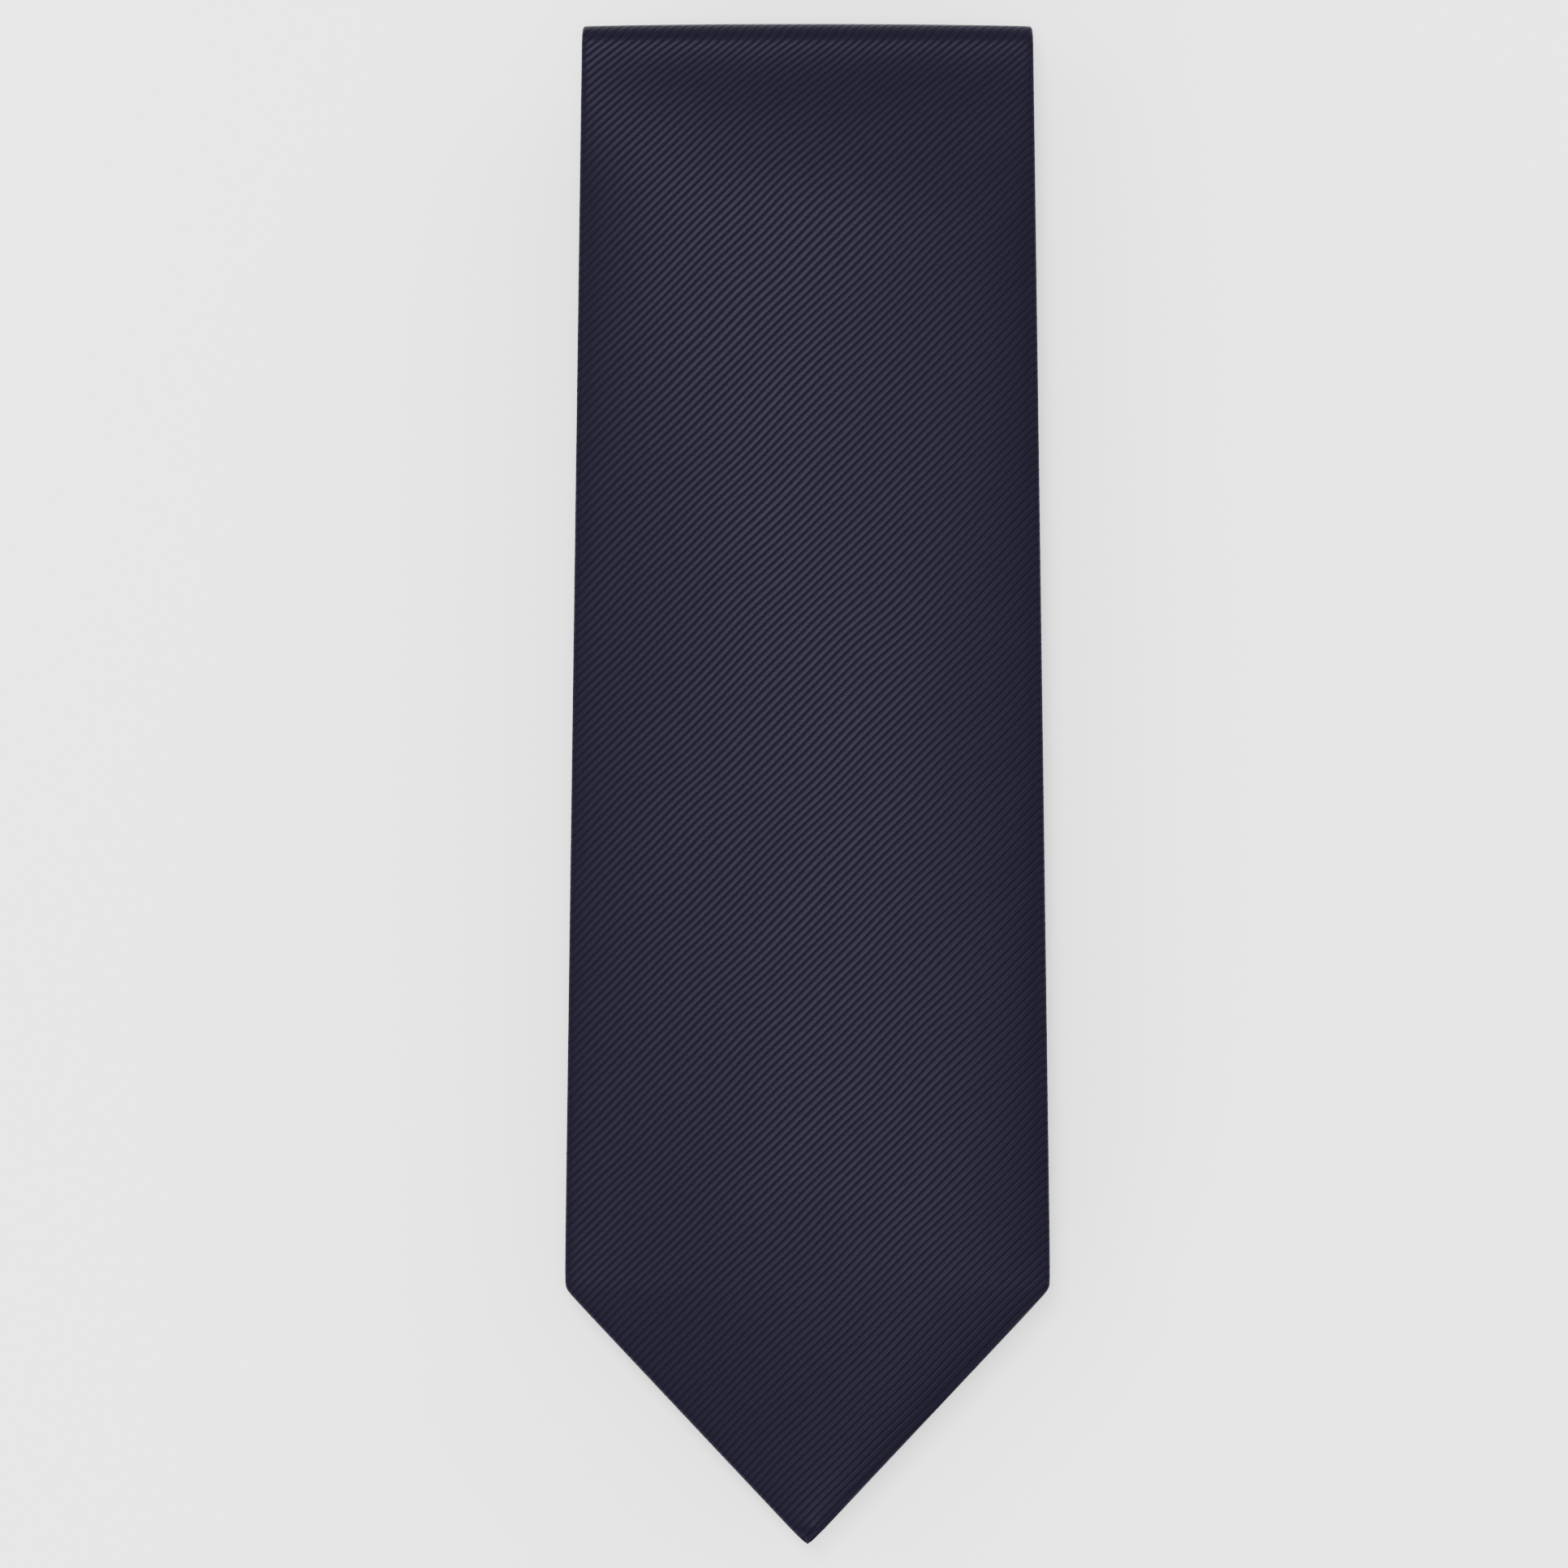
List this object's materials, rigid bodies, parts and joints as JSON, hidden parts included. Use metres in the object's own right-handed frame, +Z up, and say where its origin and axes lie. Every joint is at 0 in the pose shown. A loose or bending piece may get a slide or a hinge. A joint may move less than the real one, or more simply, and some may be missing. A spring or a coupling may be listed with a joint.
{
  "type": "necktie",
  "caption": "Lined necktie with a wide pointed blade and narrow tail, folded flat with the blade on top; its folds open out to the full strip.",
  "frame": {"origin": "centre of the folded tie's box, on the face that it lies on", "axes": "+X across the blade, +Y from the blade's tip towards its top fold, +Z up out of the blade's face"},
  "size_m": [0.085, 0.2668, 0.0168],
  "materials": {
    "shell_cloth": "dark navy diagonal rib weave, satin",
    "interlining": "brushed woven wool blend, matte",
    "lining": "smooth plain weave lining, satin",
    "thread": "twisted sewing thread, matte",
    "label": "plain woven damask, satin",
    "care_label": "plain satin tape"
  },
  "bodies": {
    "tail": {"tail_shell": "shell_cloth", "shell_bend_5": "shell_cloth", "interlining_6": "interlining", "interlining_bend_5": "interlining", "slip_stitch_6": "thread", "tail_tipping": "lining", "tail_bar_tack": "thread", "tail_thread_loop": "thread"},
    "layer_5": {"shell_panel_5": "shell_cloth", "shell_bend_4": "shell_cloth", "interlining_5": "interlining", "interlining_bend_4": "interlining", "slip_stitch_5": "thread", "tail_piecing_seam": "shell_cloth"},
    "layer_4": {"shell_panel_4": "shell_cloth", "shell_bend_3": "shell_cloth", "interlining_4": "interlining", "interlining_bend_3": "interlining", "slip_stitch_4": "thread", "blade_piecing_seam": "shell_cloth"},
    "layer_3": {"shell_panel_3": "shell_cloth", "shell_bend_2": "shell_cloth", "interlining_3": "interlining", "interlining_bend_2": "interlining", "slip_stitch_3": "thread"},
    "layer_2": {"shell_panel_2": "shell_cloth", "shell_bend_1": "shell_cloth", "interlining_2": "interlining", "interlining_bend_1": "interlining", "slip_stitch_2": "thread"},
    "blade": {"blade_shell": "shell_cloth", "interlining_1": "interlining", "slip_stitch_1": "thread", "blade_tipping": "lining", "keeper_loop": "shell_cloth", "keeper_loop_tacks": "thread", "plain_label": "label", "care_label": "care_label", "label_stitches": "thread", "blade_bar_tack": "thread"}
  },
  "joints": [
    {"name": "fold_5", "type": "hinge", "parent": "tail", "child": "layer_5", "pos_m": [0, 0.127, 0.0024], "axis": [-1, 0, 0], "range_deg": [0, 180], "deforming": ["shell_bend_5", "interlining_bend_5"]},
    {"name": "fold_4", "type": "hinge", "parent": "layer_5", "child": "layer_4", "pos_m": [0, -0.104, 0.005], "axis": [1, 0, 0], "range_deg": [0, 180], "deforming": ["shell_bend_4", "interlining_bend_4"]},
    {"name": "fold_3", "type": "hinge", "parent": "layer_4", "child": "layer_3", "pos_m": [0, 0.127, 0.0076], "axis": [-1, 0, 0], "range_deg": [0, 180], "deforming": ["shell_bend_3", "interlining_bend_3"]},
    {"name": "fold_2", "type": "hinge", "parent": "layer_3", "child": "layer_2", "pos_m": [0, -0.096, 0.0102], "axis": [1, 0, 0], "range_deg": [0, 180], "deforming": ["shell_bend_2", "interlining_bend_2"]},
    {"name": "fold_1", "type": "hinge", "parent": "layer_2", "child": "blade", "pos_m": [0, 0.1302, 0.0136], "axis": [-1, 0, 0], "range_deg": [0, 180], "deforming": ["shell_bend_1", "interlining_bend_1"]}
  ],
  "couplings": [
    {"joint": "fold_4", "follows": "fold_5", "ratio": 1},
    {"joint": "fold_3", "follows": "fold_5", "ratio": 1},
    {"joint": "fold_2", "follows": "fold_5", "ratio": 1}
  ]
}
